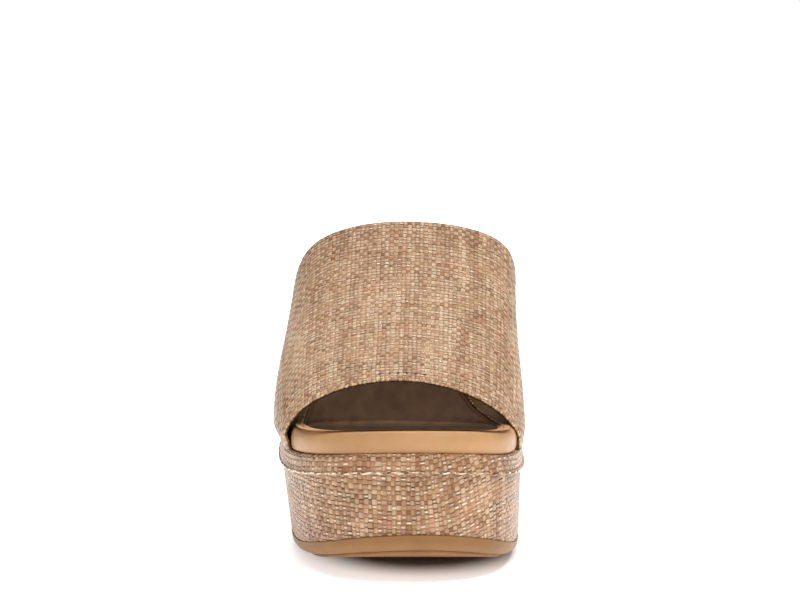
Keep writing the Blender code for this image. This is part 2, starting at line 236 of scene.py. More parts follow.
def ramp(tree, value, stops, interpolation="LINEAR"):
    """Colour output of a ramp through (place, sRGB colour)."""
    node = add(tree, "ValToRGB", {0: value})
    node.color_ramp.interpolation = interpolation
    for k, (place, colour) in enumerate(stops):
        stop = node.color_ramp.elements[k] if k < 2 else node.color_ramp.elements.new(place)
        stop.position, stop.color = place, (*linear(colour), 1)
    return node.outputs[0]


def spread(tree, value, low, high, to_low=0.0, to_high=1.0):
    """Map Range from low..high to to_low..to_high, held to its ends."""
    return add(tree, "MapRange", {0: value, 1: low, 2: high, 3: to_low, 4: to_high}).outputs[0]


def noise(tree, vector, scale, detail=2.0, roughness=0.5):
    """Value of a noise texture at the vector."""
    values = {"Vector": vector, "Scale": scale, "Detail": detail, "Roughness": roughness}
    return add(tree, "TexNoise", values).outputs["Fac"]


def tint(tree, colour, factor, other, mode="MULTIPLY"):
    """Colour blended with another by the factor."""
    node = add(tree, "Mix", data_type="RGBA", blend_type=mode)
    for key, value in ((0, factor), (6, colour), (7, other)):
        if isinstance(value, bpy.types.NodeSocket):
            tree.links.new(value, node.inputs[key])
        else:
            node.inputs[key].default_value = value
    return node.outputs[2]


def rubber_material():
    """Matt tan rubber: faint cloudiness, a fine moulded grain, darker and scuffed towards the ground."""
    material, tree, shader = new_material("outsole_rubber", (172, 128, 87), 0.5, Specular_IOR_Level=0.25)
    place = add(tree, "TexCoord").outputs["Object"]
    cloud = noise(tree, place, 60, 3)
    colour = ramp(tree, cloud, ((0.3, (136, 96, 55)), (0.7, (151, 109, 65))))
    height = add(tree, "SeparateXYZ", {0: place}).outputs["Z"]
    low = spread(tree, height, 0.0, 0.003, 1.0, 0.0)
    speck = noise(tree, place, 900, 2)
    scuff = calc(tree, "MULTIPLY", low, spread(tree, speck, 0.45, 0.6))
    colour = tint(tree, colour, calc(tree, "MULTIPLY", scuff, 0.5), (0.62, 0.56, 0.5, 1))
    tree.links.new(colour, shader.inputs["Base Color"])
    tree.links.new(spread(tree, speck, 0.3, 0.7, 0.42, 0.6), shader.inputs["Roughness"])
    bump = add(tree, "Bump", {"Strength": 0.25, "Distance": 0.0002, "Height": noise(tree, place, 1800, 3)})
    tree.links.new(bump.outputs[0], shader.inputs["Normal"])
    return material


def tread(x, along):
    """Underside of the outsole with its grooves, 1.4 mm deep and 2.4 mm wide, 13.5 mm inside the edge."""
    near = np.abs(along[..., None] - GROOVE_STARTS).min(axis=-1) < GROOVE_WIDTH / 2
    right = half_outline(SOLE_MEDIAL, 1, along) - GROOVE_MARGIN
    left = half_outline(SOLE_LATERAL, -1, along) + GROOVE_MARGIN
    return floor_line(along) + np.where(near & (x < right) & (x > left), GROOVE_DEPTH, 0.0)


def make_outsole():
    """Rings up the rounded edge, closed by the grooved tread below and a plain cap above."""
    angle = np.linspace(0, math.pi, 361)
    along = SOLE_LENGTH * (1 - np.cos(angle)) / 2
    edges = (GROOVE_STARTS[:, None] + np.array([-0.00122, -0.00118, 0.00118, 0.00122])).ravel()
    along = np.unique(np.concatenate([along, edges]))
    ring = plan_ring(along)
    normal = outward(ring)
    full = wall_inset(1.0, normal) + OUTSOLE_TUCK
    rows = []

    def level(share):
        return lambda x, y: floor_line(y) + share * (outsole_top(y) - floor_line(y))

    plate = full + OUTSOLE_EDGE
    for inset, share in ((0.0, 0.0), (0.0001, 0.0), (-0.00012, 0.03), (-0.00012, 0.13), (0.0, 0.16)):
        rows.append(lift_ring(ring, normal, -plate - inset, level(share)))
    for turn in np.radians(np.linspace(0, 84, 12)):
        out = 0.0009 + (OUTSOLE_EDGE - 0.0009) * math.sin(turn)
        share = 0.17 + 0.83 * 0.74 * (1 - math.cos(turn))
        rows.append(lift_ring(ring, normal, -plate + out, level(share)))
    rows.append(lift_ring(ring, normal, -full + 0.0001, level(0.88)))
    rows.append(lift_ring(ring, normal, -full, level(0.98)))
    rows.append(lift_ring(ring, normal, -full - 0.0002, level(1.0)))
    lattices = [
        (closed_rows(rows), None),
        (cap_rows(rows[0], 40, tread), None),
        (cap_rows(rows[-1], 4, level(1.0)), None),
    ]
    return make_piece("outsole_rubber", lattices, rubber_material(), sharp=50)


outsole = make_outsole()
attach(outsole, "root")
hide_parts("outsole")

# Platform: a light foam wedge wrapped in woven straw. The cover is drawn round the toe on a slant, so
# the weave turns there, and it is glued at the foot and butted at the back of the heel.
WRAP_CELLS = 326
CUFF_DROP = 0.0072
CUFF_WALL = 0.0022
PIECE_GAP = 0.0003
FOREFOOT_HEIGHT, TOP_TOE_LIFT = 0.0410, 0.0085
HEEL_RISE, RISE_START, RISE_RUN = 0.024, 0.078, 0.148
WRAP_RELIEF = 0.00016
# Painted shade: the platform's and cuff's straw is darkened and warmed against the band's, though it is the
# same straw.
WRAP_PAINTED_SHADE, WRAP_GLOSS = (0.86, 0.8, 0.75, 1), 0.25


def platform_top(along):
    """Top of the platform: sprung at the toe, level under the forefoot, 24 mm higher at the heel."""
    rise = HEEL_RISE * ease((along - RISE_START) / RISE_RUN)
    return FOREFOOT_HEIGHT + toe_lift(along, TOP_TOE_LIFT) + rise


def distance_run(path):
    """Distance run along a path at each of its points."""
    return np.concatenate([[0.0], np.cumsum(np.linalg.norm(np.diff(path, axis=0), axis=1))])


def wrap_ring(count):
    """Sole outline as count + 1 evenly spaced points from the heel tip round the toe, with outward normals.

    Also gives each point's distance run.
    """
    along = SOLE_LENGTH * (1 - np.cos(np.linspace(0, math.pi, 3001))) / 2
    ring = plan_ring(along)
    ring = np.roll(ring, -3000, axis=0)[::-1]
    ring = np.vstack([ring[-1:], ring])
    run = distance_run(ring)
    at = np.linspace(0, run[-1], count + 1)
    plan = np.column_stack([np.interp(at, run, ring[:, k]) for k in range(2)])
    step = np.gradient(plan, axis=0)
    step[0] = step[-1] = plan[1] - plan[-2]
    normal = np.column_stack([-step[:, 1], step[:, 0]])
    normal /= np.linalg.norm(normal, axis=1)[:, None]
    if normal[0, 1] < 0:
        normal = -normal
    return plan, normal, at


def weave_relief(strands):
    """Height of a plain weave, 0 in the gaps to 1 on a crown.

    In every other cell the lengthwise strand is on top. Each is flat across and arched along.
    """
    cell = np.floor(strands)
    inside = strands - cell - 0.5
    lengthwise = cell.sum(axis=-1) % 2 == 0
    across = np.where(lengthwise, inside[..., 0], inside[..., 1])
    along = np.where(lengthwise, inside[..., 1], inside[..., 0])
    return (1 - 0.5 * (2 * np.abs(across)) ** 4) * (1 - 0.6 * (2 * np.abs(along)) ** 2)


def wander(strands, amount, seed):
    """Strand places moved a little, so that no strand runs dead straight.

    The shift is a table of random numbers, one for every strand and every third cell along it, read
    with smooth steps between its entries.
    """
    table = np.random.default_rng(seed).normal(size=(2, 61, 61)) * amount

    def read(layer, a, b):
        i, j = np.floor(a).astype(int), np.floor(b).astype(int)
        s, t = ease(a - i), ease(b - j)
        corner = [[layer[(i + p) % 61, (j + q) % 61] for q in (0, 1)] for p in (0, 1)]
        near, far = (c[0] * (1 - t) + c[1] * t for c in corner)
        return near * (1 - s) + far * s

    u, v = strands[..., 0], strands[..., 1]
    return np.stack([u + read(table[0], u * 0.9, v / 3), v + read(table[1], v * 0.9, u / 3)], -1)


def straw_material(name, seed, edges=None, shade=(1, 1, 1, 1), gloss=0.5):
    """Woven paper straw, drawn from the strand places.

    Each strand is a ribbon of fine straws side by side, three lengthwise and two crosswise, and the tone
    of each straw drifts along it. Crosswise ones are shinier, and a painted highlight lightens the middle
    of some of their crowns. Painted shade darkens the seams between straws, the gaps beside the crowns and
    some of the corners, in patches and more on the band's two sides. edges are the first and last strand
    place of a turned edge, which shows as a thin golden rim; the hem beyond it, inside the band, is
    darkened with painted shade, and a row of pinholes near the edge is painted near black. The shade is a
    tint over the whole weave: painted shade, as it darkens the platform's and cuff's copies of this straw.
    """
    material, tree, shader = new_material(name, (190, 155, 126), 0.5, Specular_IOR_Level=gloss)
    place = add(tree, "UVMap", uv_map="strands").outputs[0]
    split = add(tree, "SeparateXYZ", {0: place})
    u, v = split.outputs[0], split.outputs[1]
    column, row = calc(tree, "FLOOR", u), calc(tree, "FLOOR", v)
    fu = calc(tree, "SUBTRACT", calc(tree, "FRACT", u), 0.5)
    fv = calc(tree, "SUBTRACT", calc(tree, "FRACT", v), 0.5)
    crosswise = calc(tree, "FLOORED_MODULO", calc(tree, "ADD", column, row), 2.0)

    def choose(lengthwise_value, crosswise_value):
        """One value on lengthwise crowns, the other on crosswise ones."""
        values = {0: crosswise, 2: lengthwise_value, 3: crosswise_value}
        return add(tree, "Mix", values, data_type="FLOAT").outputs[0]

    def pair(first, second, third=0.0):
        """Vector of two or three values."""
        return add(tree, "CombineXYZ", {0: first, 1: second, 2: third}).outputs[0]

    def random_of(vector):
        """Random value of 0 to 1 for each whole-numbered vector."""
        return add(tree, "TexWhiteNoise", {"Vector": vector}, noise_dimensions="3D").outputs["Value"]

    def times(*values):
        """Product of two or more values."""
        product = values[0]
        for value in values[1:]:
            product = calc(tree, "MULTIPLY", product, value)
        return product

    def plus(*values):
        """Sum of two or more values."""
        total = values[0]
        for value in values[1:]:
            total = calc(tree, "ADD", total, value)
        return total

    fleck = random_of(pair(column, row))
    other = random_of(pair(row, column, 9.0))
    side, end, run = choose(fu, fv), choose(fv, fu), choose(v, u)
    strand = choose(column, plus(row, 517.0))
    straw_place = times(plus(side, 0.5), choose(3.0, 2.0))
    straw = plus(times(strand, 3.0), calc(tree, "FLOOR", straw_place))
    from_middle = calc(tree, "SUBTRACT", calc(tree, "FRACT", straw_place), 0.5)
    rim_of_straw = times(calc(tree, "ABSOLUTE", from_middle), 2.0)
    across = times(calc(tree, "ABSOLUTE", side), 2.0)
    down = times(calc(tree, "ABSOLUTE", end), 2.0)
    round_off = times(calc(tree, "POWER", across, choose(4.0, 2.5)), choose(0.45, 0.75))
    flat = calc(tree, "SUBTRACT", 1.0, round_off)
    arch = calc(tree, "SUBTRACT", 1.0, times(calc(tree, "POWER", down, 2.2), 0.5))
    crown = times(flat, arch)

    drift = noise(tree, pair(times(straw, 0.41), times(run, 0.16), seed), 1.0, 1)
    broad = noise(tree, pair(times(strand, 0.83), times(run, 0.09), seed + 2.0), 1.0, 1)
    patch = noise(tree, pair(times(u, 0.16), times(v, 0.11), seed + 8.0), 1.0, 2)
    stripe = noise(tree, pair(times(column, 0.31), times(v, 0.025), seed + 17.0), 1.0, 1)
    own = random_of(pair(straw, seed))
    tone = plus(
        times(spread(tree, drift, 0.25, 0.75), 0.4), times(spread(tree, broad, 0.3, 0.7), 0.4),
        times(spread(tree, patch, 0.3, 0.7), 0.2), times(plus(own, -0.5), 0.36),
        times(plus(fleck, -0.5), 0.16), times(plus(stripe, -0.5), 0.9), choose(0.12, -0.19),
    )
    colour = ramp(tree, tone, STRAW_TONES)
    hue = noise(tree, pair(times(column, 0.4), times(row, 0.14), seed + 5.0), 1.0, 2)
    colour = tint(tree, colour, spread(tree, hue, 0.52, 0.68, 0.0, 0.7), (1.03, 0.88, 0.83, 1))
    colour = tint(tree, colour, spread(tree, hue, 0.46, 0.3, 0.0, 0.7), (0.96, 0.96, 0.88, 1))

    # Painted shade: the shade tint darkens and warms the whole weave; the platform and cuff pass it, the band
    # does not.
    colour = tint(tree, colour, 1.0, shade)
    # Painted shade: how dark the gaps and corners are painted changes in patches, and on the band also grows
    # towards its two sides.
    loose = noise(tree, pair(times(column, 0.57), times(row, 0.13), seed + 13.0), 1.0, 1)
    gap_shade_amount = spread(tree, loose, 0.36, 0.62)
    if edges:
        aside = spread(tree, calc(tree, "ABSOLUTE", plus(u, -101.0)), 7.0, 15.0, 0.0, 0.6)
        gap_shade_amount = calc(tree, "MINIMUM", plus(gap_shade_amount, aside), 1.0)
    # Painted shade in the seams between neighbouring straws.
    between = calc(tree, "POWER", rim_of_straw, 4.0)
    colour = tint(tree, colour, times(between, choose(0.24, 0.1)), (0.55, 0.45, 0.36, 1))
    # Painted shade in the gaps along the sides of the crowns, mostly beside crosswise ones.
    painted_gap_shade = times(
        spread(tree, across, choose(0.9, 0.5), choose(1.1, 0.95)), choose(0.15, 1.1),
        spread(tree, gap_shade_amount, 0.0, 1.0, 0.25, 1.0), spread(tree, other, 0.0, 0.7, 0.35, 1.0),
    )
    colour = tint(tree, colour, times(painted_gap_shade, 0.9), (0.22, 0.145, 0.09, 1))
    # Painted highlight: near-white along the middle of crosswise crowns on some cells, weaker on lengthwise
    # ones.
    painted_crown_highlight = times(
        choose(0.3, 1.0), calc(tree, "SUBTRACT", 1.0, calc(tree, "POWER", down, 3.0)),
        spread(tree, across, 0.5, 0.1), spread(tree, random_of(pair(column, row, 21.0)), 0.35, 0.95),
    )
    colour = tint(tree, colour, times(painted_crown_highlight, 0.9), (*linear((250, 232, 206)), 1), "MIX")
    # Painted shade: dark dots at some cell corners, as if the weave were open there, also sunk in the relief.
    here = random_of(pair(calc(tree, "FLOOR", plus(u, 0.5)), calc(tree, "FLOOR", plus(v, 0.5)), 4.0))
    to_corner = plus(times(calc(tree, "ABSOLUTE", fu), 2.0), times(calc(tree, "ABSOLUTE", fv), 2.0))
    corner = spread(tree, to_corner, 1.45, 1.8)
    painted_corner_shade = times(corner, spread(tree, here, 0.55, 0.9), gap_shade_amount)
    colour = tint(tree, colour, times(painted_corner_shade, 0.8), (0.2, 0.13, 0.08, 1))

    rough = plus(choose(0.42, 0.25), times(plus(own, -0.5), 0.16))
    relief = plus(
        times(crown, choose(0.75, 1.1)),
        times(calc(tree, "SUBTRACT", 1.0, calc(tree, "POWER", rim_of_straw, 3.0)), 0.3),
        times(other, 0.4), times(painted_corner_shade, -0.4),
    )
    if edges:
        low, high = edges
        first_rim = spread(tree, v, low + 0.05, low - 0.05)
        rim = calc(tree, "MAXIMUM", first_rim, spread(tree, v, high - 0.05, high + 0.05))
        twist = noise(tree, pair(times(u, 1.7), times(v, 0.6), 3.0), 1.0, 1)
        gold = ramp(tree, twist, ((0.3, (142, 102, 66)), (0.5, (192, 152, 108)), (0.68, (244, 218, 176))))
        # Painted shade: past three quarters of the roll, where the hem turns inside the band, the rim colour
        # is darkened to dark brown.
        first_hem = spread(tree, v, low - 0.75, low - 1.0)
        hem = calc(tree, "MAXIMUM", first_hem, spread(tree, v, high + 0.75, high + 1.0))
        gold = tint(tree, gold, hem, (0.2, 0.14, 0.1, 1))
        colour = tint(tree, colour, rim, gold, "MIX")
        # Pinholes: a row of near-black dots, painted shade, each also sunk in the relief.
        painted_pinhole_shade = times(
            calc(tree, "COMPARE", v, low + 1.9, 0.26),
            calc(tree, "COMPARE", calc(tree, "PINGPONG", u, 1.0), 0.0, 0.26),
            calc(tree, "COMPARE", u, 99.3, 6.4),
        )
        colour = tint(tree, colour, painted_pinhole_shade, (0.03, 0.018, 0.01, 1), "MIX")
        relief = plus(relief, times(painted_pinhole_shade, -1.5))
    tree.links.new(colour, shader.inputs["Base Color"])
    tree.links.new(rough, shader.inputs["Roughness"])
    bump = add(tree, "Bump", {"Strength": 1.0, "Distance": 0.0003, "Height": relief})
    tree.links.new(bump.outputs[0], shader.inputs["Normal"])
    shader.inputs["Sheen Weight"].default_value = 0.05
    shader.inputs["Sheen Roughness"].default_value = 0.4
    shader.inputs["Sheen Tint"].default_value = (1, 0.97, 0.93, 1)
    return material


STRAW_TONES = (
    (0.0, (134, 97, 66)), (0.3, (164, 125, 91)), (0.55, (184, 146, 112)), (0.8, (203, 168, 134)),
    (1.0, (221, 192, 161)),
)


def slant_angle(at, whole):
    """Turn of the weave in radians: 19 degrees beside the toe, nothing at the heel and little toe side."""
    share = at / whole
    return math.radians(19) * ease((share - 0.425) / 0.03) * (1 - ease((share - 0.472) / 0.032))


def slant(at):
    """Slope of the weave's rows at distances round the wrap, and how far they have come down by then."""
    slope = -np.tan(slant_angle(at, at[-1]))
    return slope, np.concatenate([[0.0], np.cumsum((slope[1:] + slope[:-1]) / 2 * np.diff(at))])


def make_platform():
    """The woven wall as rings from the outsole up to under the cuff, closed by two caps."""
    plan, normal, at = wrap_ring(1240)
    slope, fall = slant(at)
    along = plan[:, 1]
    foot = plan - normal * (wall_inset(1.0, normal) + 0.0003)[:, None]
    low, high = outsole_top(foot[:, 1]) + 0.0001, platform_top(along) - CUFF_DROP + 0.0008
    shares = np.linspace(0, 1, 72)
    pitch = at[-1] / WRAP_CELLS
    height = low + shares[:, None] * (high - low)
    strands = np.stack([
        (at + 0.6 * (height - 0.02) * slope) / pitch,
        (height - fall) / pitch + 400,
    ], -1)
    strands = wander(strands, 0.13, 4)
    inset = wall_inset(1 - shares[:, None], normal[None]) + 0.0002
    from_seam, up = np.minimum(at, at[-1] - at)[None], shares[:, None]
    fade = ease(from_seam / 0.0012) * ease((1 - up) * 12) * ease(up * 14)
    tuck = 0.0003 * (1 - ease(up * 20)) + 0.0006 * (1 - ease(from_seam / 0.0008))
    inset = inset - WRAP_RELIEF * (weave_relief(strands) - 0.6) * fade + tuck
    points = np.concatenate([plan[None] - normal[None] * inset[..., None], height[..., None]], -1)
    points[..., 1] -= SOLE_LENGTH / 2
    points[:, -1] = points[:, 0]
    inner = points[-1].copy()
    inner[:, :2] -= normal * (CUFF_WALL - inset[-1][:, None])
    upper = inner.copy()
    upper[:, 2] = platform_top(upper[:, 1] + SOLE_LENGTH / 2)
    lattices = [
        (points, strands),
        (np.stack([points[-1], inner, upper]), None),
        (cap_rows(points[0, :-1][::-1], 6, lambda x, y: outsole_top(y) + 0.0001), None),
        (cap_rows(upper[:-1][::-1], 6, lambda x, y: platform_top(y)), None),
    ]
    material = straw_material("platform_straw", 3.0, shade=WRAP_PAINTED_SHADE, gloss=WRAP_GLOSS)
    return make_piece("platform_weave", lattices, material)


platform = make_platform()
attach(platform, "root")
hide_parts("platform")

# Cuff: the strip of the same straw sewn round the platform's top. Its raw edge is turned under, which
# leaves a pinched ridge with a dark thread through it.
CUFF_PROFILE = (
    (-0.00220, 0.00720), (-0.0004, 0.00735), (0.00045, 0.00735), (0.00085, 0.00700), (0.00085, 0.00640),
    (0.00040, 0.00570), (0.00022, 0.00500), (0.00015, 0.00380), (0.00005, 0.00240), (-0.00012, 0.00130),
    (-0.00050, 0.00045), (-0.00110, 0.00008), (-0.0017, 0.0), (-0.0022, 0.0),
)
CUFF_RELIEF = 0.00014
STITCH_PITCH = 0.0036


def path_through(points, count):
    """Points spread evenly along a smooth curve through the given ones, with the distance run."""
    rows = np.array(points)
    run = distance_run(rows)
    fine = np.linspace(0, run[-1], 40 * len(rows))
    curve = np.column_stack([smooth_through(fine, run, rows[:, k]) for k in range(rows.shape[1])])
    length = distance_run(curve)
    at = np.linspace(0, length[-1], count)
    return np.column_stack([np.interp(at, length, curve[:, k]) for k in range(rows.shape[1])]), at


def make_cuff():
    """The profile carried round the sole's outline, woven, and puckered at each stitch."""
    plan, normal, at = wrap_ring(1304)
    profile, run = path_through(CUFF_PROFILE, 30)
    pitch = at[-1] / WRAP_CELLS
    drop = profile[:, 1][:, None]
    slope, fall = slant(at)
    strands = np.stack([(at + 0.6 * run[:, None] * slope) / pitch, (run[:, None] - fall) / pitch + 300.3], -1)
    strands = wander(strands, 0.12, 7)
    shown = (profile[:, 0] > -0.0012)[:, None]
    pucker = np.cos(2 * math.pi * at / STITCH_PITCH)[None] * ease((drop - 0.0048) / 0.0014) * 0.00012
    out = profile[:, 0][:, None] + (CUFF_RELIEF * (weave_relief(strands) - 0.5) + pucker) * shown
    flat = plan[None] + normal[None] * out[..., None]
    height = platform_top(np.broadcast_to(plan[:, 1], drop.shape[:1] + plan[:, 1].shape)) - drop
    points = np.concatenate([flat, height[..., None]], -1)
    points[..., 1] -= SOLE_LENGTH / 2
    points[:, -1] = points[:, 0]
    back = np.stack([points[-1], points[0]])
    material = straw_material("cuff_straw", 11.0, shade=WRAP_PAINTED_SHADE, gloss=WRAP_GLOSS)
    return make_piece("cuff_weave", [(points, strands), (back, None)], material)


def tube(path, side, over, radius, flat=1.0, sides=8):
    """Lattice of a closed strand: an ellipse along the path, flat times as high as wide."""
    turn = np.linspace(0, 2 * math.pi, sides + 1)
    turn[-1] = 0
    ring = side[:, None] * np.cos(turn)[None, :, None] + flat * over[:, None] * np.sin(turn)[None, :, None]
    return path[:, None] + ring * np.reshape(radius, (-1, 1, 1))


def make_cuff_cord():
    """Two loose shiny straws wound round each other along the ridge, tightest at each stitch."""
    plan, normal, at = wrap_ring(1700)
    rng = np.random.default_rng(31)
    lattices = []
    for k in range(2):
        phase = np.cumsum(rng.normal(size=60)) * 0.5
        phase[-6:] = np.linspace(phase[-6], phase[0], 6)
        turn = 2 * math.pi * at / at[-1] * 86 + np.interp(at, np.linspace(0, at[-1], 60), phase) + k * math.pi
        drop = 0.00665 + 0.00020 * np.sin(turn)
        out = 0.00090 + 0.00010 * np.cos(turn)
        path = np.column_stack([plan + normal * out[:, None], platform_top(plan[:, 1]) - drop])
        path[:, 1] -= SOLE_LENGTH / 2
        path[-1] = path[0]
        side = np.column_stack([normal, 0 * at])
        radius = 0.00016 + 0.00005 * np.sin(turn * 0.5) ** 2
        over = np.zeros_like(side)
        over[:, 2] = 1
        radius[-1] = radius[0]
        lattices.append((tube(path, side, over, radius, 1.3), None))
    material, tree, shader = new_material("cuff_cord_straw", (206, 172, 134), 0.25)
    place = add(tree, "TexCoord").outputs["Object"]
    # Painted highlights: the colour noise spots the straws near white, between darker brown stretches.
    tone = noise(tree, place, 420, 2)
    colour = ramp(tree, tone, ((0.4, (84, 58, 38)), (0.49, (186, 150, 116)), (0.6, (248, 230, 204))))
    tree.links.new(colour, shader.inputs["Base Color"])
    return make_piece("cuff_cord", lattices, material)


cuff = make_cuff()
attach(cuff, "root")
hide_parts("cuff")
cuff_cord = make_cuff_cord()
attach(cuff_cord, "root")

# Footbed: a padded board covered in tan leather, its edge rolled over and its top sewn down along a
# groove that follows the sock panel.
SOCK_MEDIAL = (
    (0.045, 0.44), (0.068, 0.650), (0.110, 0.770), (0.180, 0.790), (0.260, 0.700), (0.340, 0.600),
    (0.460, 0.470), (0.570, 0.430), (0.680, 0.470), (0.790, 0.540), (0.870, 0.500), (0.935, 0.290),
)
SOCK_LATERAL = (
    (0.045, 0.20), (0.072, 0.500), (0.120, 0.690), (0.180, 0.760), (0.260, 0.765), (0.340, 0.745),
    (0.460, 0.700), (0.570, 0.660), (0.680, 0.630), (0.790, 0.600), (0.870, 0.510), (0.935, 0.300),
)
SOCK_FRONT, SOCK_BACK = 0.0085, 0.242
FOOTBED_INSET, FOOTBED_ROLL = 0.0018, 0.0052
FOOTBED_DEPTH, ARCH_RAISE, HEEL_CUP = 0.0088, 0.0030, 0.0030
ROLL_PROFILE = (
    (0.30, 0.0), (0.08, 0.03), (0.01, 0.16), (-0.01, 0.36), (0.03, 0.60), (0.16, 0.80), (0.42, 0.93),
    (0.74, 0.985), (1.0, 1.0),
)
SEW_OUT = 0.0016


def footbed_depth(x, along):
    """Thickness of the border: 8.8 mm, and 3 mm more where it holds up the arch."""
    arch = np.exp(-((along - 0.150) / 0.045) ** 2)
    return FOOTBED_DEPTH + ARCH_RAISE * arch * ease(x / HALF_BALL_WIDTH)


def footbed_top(x, along):
    """Upper face, with a cup of 3 mm under the heel."""
    cup = HEEL_CUP * ease((along - 0.150) / 0.050) * (1 - np.clip(np.abs(x) / 0.037, 0, 1) ** 2)
    return platform_top(along) + PIECE_GAP + footbed_depth(x, along) - cup


def leather_material():
    """Smooth tan leather: fine pebble, soft gloss and faint clouding, with painted shade making it dark brown
    under the band.
    """
    material, tree, shader = new_material("footbed_leather", (211, 167, 125), 0.42, Specular_IOR_Level=0.16)
    place = add(tree, "TexCoord").outputs["Object"]
    colour = ramp(tree, noise(tree, place, 45, 3), ((0.3, (179, 137, 94)), (0.7, (193, 149, 106))))
    pores = add(tree, "TexVoronoi", {"Vector": place, "Scale": 1500}).outputs["Distance"]
    fine = noise(tree, place, 260, 4, 0.6)
    colour = tint(tree, colour, spread(tree, fine, 0.35, 0.7, 0.0, 0.3), (0.86, 0.8, 0.74, 1))
    along = add(tree, "SeparateXYZ", {0: place}).outputs["Y"]
    # Painted shade: under the band the leather is made dark brown and rougher, as the band shades it.
    painted_shade_under_band = calc(tree, "MULTIPLY", spread(tree, along, -0.085, -0.076), spread(tree, along, 0.014, 0.0))
    colour = tint(tree, colour, calc(tree, "MULTIPLY", painted_shade_under_band, 0.9), (0.2, 0.17, 0.15, 1))
    tree.links.new(colour, shader.inputs["Base Color"])
    duller = calc(tree, "MULTIPLY", painted_shade_under_band, 0.5)
    rough = calc(tree, "ADD", spread(tree, fine, 0.3, 0.7, 0.3, 0.46), duller)
    tree.links.new(rough, shader.inputs["Roughness"])
    grain = calc(tree, "ADD", calc(tree, "MULTIPLY", pores, 0.6), fine)
    bump = add(tree, "Bump", {"Strength": 0.3, "Distance": 0.00012, "Height": grain})
    tree.links.new(bump.outputs[0], shader.inputs["Normal"])
    return material


def even_angles(count, front=0.0, back=SOLE_LENGTH):
    """Places along from front to back, evenly spaced in the angle whose cosine they are."""
    return front + (back - front) * (1 - np.cos(np.linspace(0, math.pi, count + 1))) / 2


def sock_ring(count):
    """Outline of the sock panel with its outward normals."""
    along = even_angles(count, SOCK_FRONT, SOCK_BACK)
    ring = plan_ring(along, SOCK_MEDIAL, SOCK_LATERAL, SOCK_FRONT, SOCK_BACK)
    return ring, outward(ring)


def make_footbed():
    """Rings from under the rolled edge, over it and in to the sewn groove, then down into the sock's pocket.

    Ahead of the band the roll is 0.7 mm fuller, so its ends meet the band's front edge.
    """
    ring = plan_ring(even_angles(480))
    normal = outward(ring)
    fuller = 0.0007 * (1 - ease((ring[:, 1] - 0.042) / 0.008))
    sock, sock_normal = sock_ring(480)
    profile, _ = path_through(ROLL_PROFILE, 22)
    rows = []
    for inset, share in profile:
        def level(x, y, share=share):
            return platform_top(y) + PIECE_GAP + share * (footbed_top(x, y) - platform_top(y) - PIECE_GAP)
        out = fuller * (1 - inset) - FOOTBED_INSET - inset * FOOTBED_ROLL
        rows.append(lift_ring(ring, normal, out, level))
    edge = ring + normal * -(FOOTBED_INSET + FOOTBED_ROLL)
    inner = sock + sock_normal * 0.0042
    for share in np.linspace(0, 1, 9)[1:]:
        plan = edge + (inner - edge) * share
        x, y = plan[:, 0], plan[:, 1]
        rows.append(np.column_stack([x, y - SOLE_LENGTH / 2, footbed_top(x, y)]))
    run = distance_run(sock)
    stitch = 0.5 + 0.5 * np.cos(2 * math.pi * run / STITCH_PITCH)
    for out, drop in ((0.0034, 0.0), (0.0028, 0.00012), (0.0023, 0.0004), (0.0019, 0.0008), (0.0015, 0.00095),
                      (0.0011, 0.0008), (0.0007, 0.0005), (0.0004, 0.0004), (0.0003, 0.0019)):
        def groove(x, y, drop=drop):
            return footbed_top(x, y) - drop * (0.8 + 0.25 * stitch)
        rows.append(lift_ring(sock, sock_normal, out, groove))
    lattices = [
        (closed_rows(rows), None),
        (cap_rows(rows[0], 6, lambda x, y: platform_top(y) + PIECE_GAP), None),
        (cap_rows(rows[-1], 10, lambda x, y: footbed_top(x, y) - 0.0021), None),
    ]
    return make_piece("footbed_leather", lattices, leather_material())


def capsules(centres, directions, length, radius, sides=6):
    """Lattices of short round-ended rods, one at each centre, as a list for make_piece."""
    towards = directions / np.linalg.norm(directions, axis=1)[:, None]
    side = np.cross(towards, np.array([0.31, 0.17, 0.93]))
    side /= np.linalg.norm(side, axis=1)[:, None]
    over = np.cross(towards, side)
    turn = np.linspace(0, 2 * math.pi, sides + 1)
    turn[-1] = 0
    profile = np.array([(-1, 0.0), (-0.92, 0.6), (-0.7, 0.95), (0, 1.0), (0.7, 0.95), (0.92, 0.6), (1, 0.0)])
    lengthwise = profile[:, 0][:, None] * length / 2 * np.ones(sides + 1)
    rod = profile[:, 1][:, None] * radius
    points = (
        centres[:, None, None]
        + towards[:, None, None] * lengthwise[None, ..., None]
        + side[:, None, None] * (rod * np.cos(turn))[None, ..., None]
        + over[:, None, None] * (rod * np.sin(turn))[None, ..., None]
    )
    return [(one, None) for one in points]


def thread_material(name, colour, painted_glint):
    """Waxed sewing thread: dark, with lighter spots along it that are painted highlights."""
    material, tree, shader = new_material(name, colour, 0.35)
    place = add(tree, "TexCoord").outputs["Object"]
    twist = noise(tree, place, 700, 2)
    tree.links.new(ramp(tree, twist, ((0.42, colour), (0.62, painted_glint))), shader.inputs["Base Color"])
    return material


